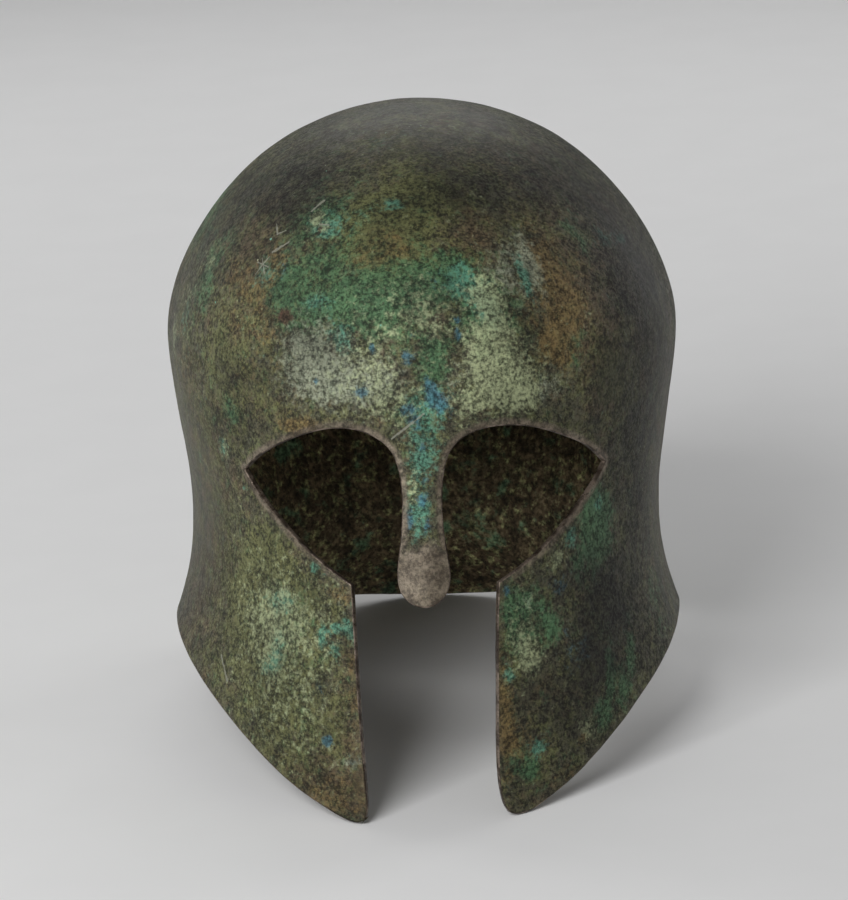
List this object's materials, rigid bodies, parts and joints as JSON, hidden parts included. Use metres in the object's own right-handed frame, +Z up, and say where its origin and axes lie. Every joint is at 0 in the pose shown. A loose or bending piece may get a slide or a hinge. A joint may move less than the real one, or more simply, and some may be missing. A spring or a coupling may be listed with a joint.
{
  "type": "corinthian helmet",
  "caption": "Ancient bronze helmet in one sheet: domed bowl, almond eye openings, long nose guard, pointed cheek pieces with a gap between them and a flared neck guard.",
  "frame": {"origin": "middle of the bounding box at the surface that the helmet stands on", "axes": "face towards -Y, wearer's left on +X, +Z up from the surface"},
  "size_m": [0.1898, 0.2694, 0.2228],
  "materials": {
    "bronze": "buried bronze with a mottled brown and green patina, blue and turquoise spots, and bare brown metal at the nose guard's end"
  },
  "bodies": {
    "root": {"helmet_shell": "bronze"}
  },
  "joints": []
}
